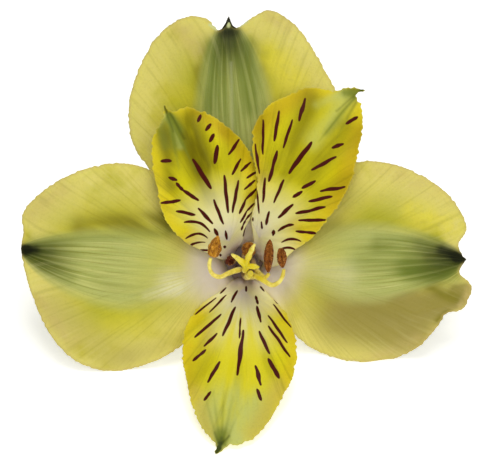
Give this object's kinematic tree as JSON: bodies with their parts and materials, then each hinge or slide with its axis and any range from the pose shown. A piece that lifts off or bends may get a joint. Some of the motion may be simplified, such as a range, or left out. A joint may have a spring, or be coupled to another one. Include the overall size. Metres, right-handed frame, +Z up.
{
  "type": "alstroemeria bloom",
  "caption": "Open lily-like bloom with broad outer and streaked inner tepals, curved stamens, ribbed ovary and a short cut stalk, lying with its face turned up.",
  "frame": {"origin": "on the surface that the bloom lies on, under the centre of its bounding box", "axes": "+Z up; +Y along the surface from the lower tepal's tip to the stalk's cut end, so the face looks up towards -Y, 40 degrees over the surface; +X to the right for someone who faces the bloom"},
  "size_m": [0.081, 0.09, 0.0509],
  "materials": {
    "outer_tepal": "fresh petal, soft satin, light passes through it",
    "inner_tepal": "fresh petal, soft satin, dark maroon streaks",
    "filament": "waxy, pale yellow",
    "anther": "dry and powdery with pollen",
    "style": "waxy, bright yellow",
    "stalk": "smooth green skin, soft satin"
  },
  "bodies": {
    "root": {"tepal_outer_top": "outer_tepal", "tepal_outer_left": "outer_tepal", "tepal_outer_right": "outer_tepal", "tepal_inner_left": "inner_tepal", "tepal_inner_right": "inner_tepal", "tepal_inner_lower": "inner_tepal", "filament_1": "filament", "filament_2": "filament", "filament_3": "filament", "filament_4": "filament", "filament_5": "filament", "filament_6": "filament", "anther_1": "anther", "anther_2": "anther", "anther_3": "anther", "anther_4": "anther", "anther_5": "anther", "style": "style", "stalk_and_ovary": "stalk"}
  },
  "joints": []
}
